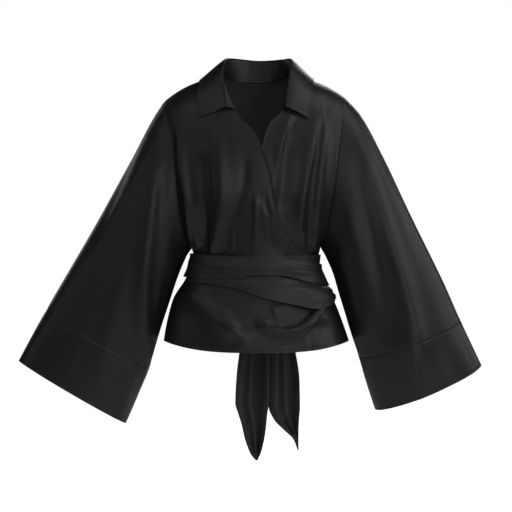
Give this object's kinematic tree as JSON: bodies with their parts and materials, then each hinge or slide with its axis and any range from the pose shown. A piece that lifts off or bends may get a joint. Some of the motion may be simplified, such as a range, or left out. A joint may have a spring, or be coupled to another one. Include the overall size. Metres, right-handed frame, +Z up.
{
  "type": "wrap top",
  "caption": "Hollow wrap blouse with a turned-down collar, wide banded sleeves and a long sash wound round the waist and knotted at the back.",
  "frame": {"origin": "middle of the neck's base, level with the inner ends of the shoulder seams, where the wearer's shoulders carry the garment", "axes": "+Z up, the front faces -Y, +X to the wearer's left"},
  "size_m": [0.9484, 0.2765, 0.8427],
  "materials": {
    "cloth": "black woven cloth with a soft satin sheen",
    "sash_cloth": "black woven cloth with a soft satin sheen"
  },
  "bodies": {
    "root": {"front_over": "cloth", "front_under": "cloth", "back": "cloth", "sleeve_left": "cloth", "cuff_left": "cloth", "sleeve_right": "cloth", "cuff_right": "cloth", "collar_stand": "cloth", "collar_fall": "cloth", "sash_front": "sash_cloth", "sash_under": "sash_cloth", "sash_fold": "sash_cloth", "sash_tie": "sash_cloth", "knot": "sash_cloth", "tail_left": "sash_cloth", "tail_right": "sash_cloth"}
  },
  "joints": []
}
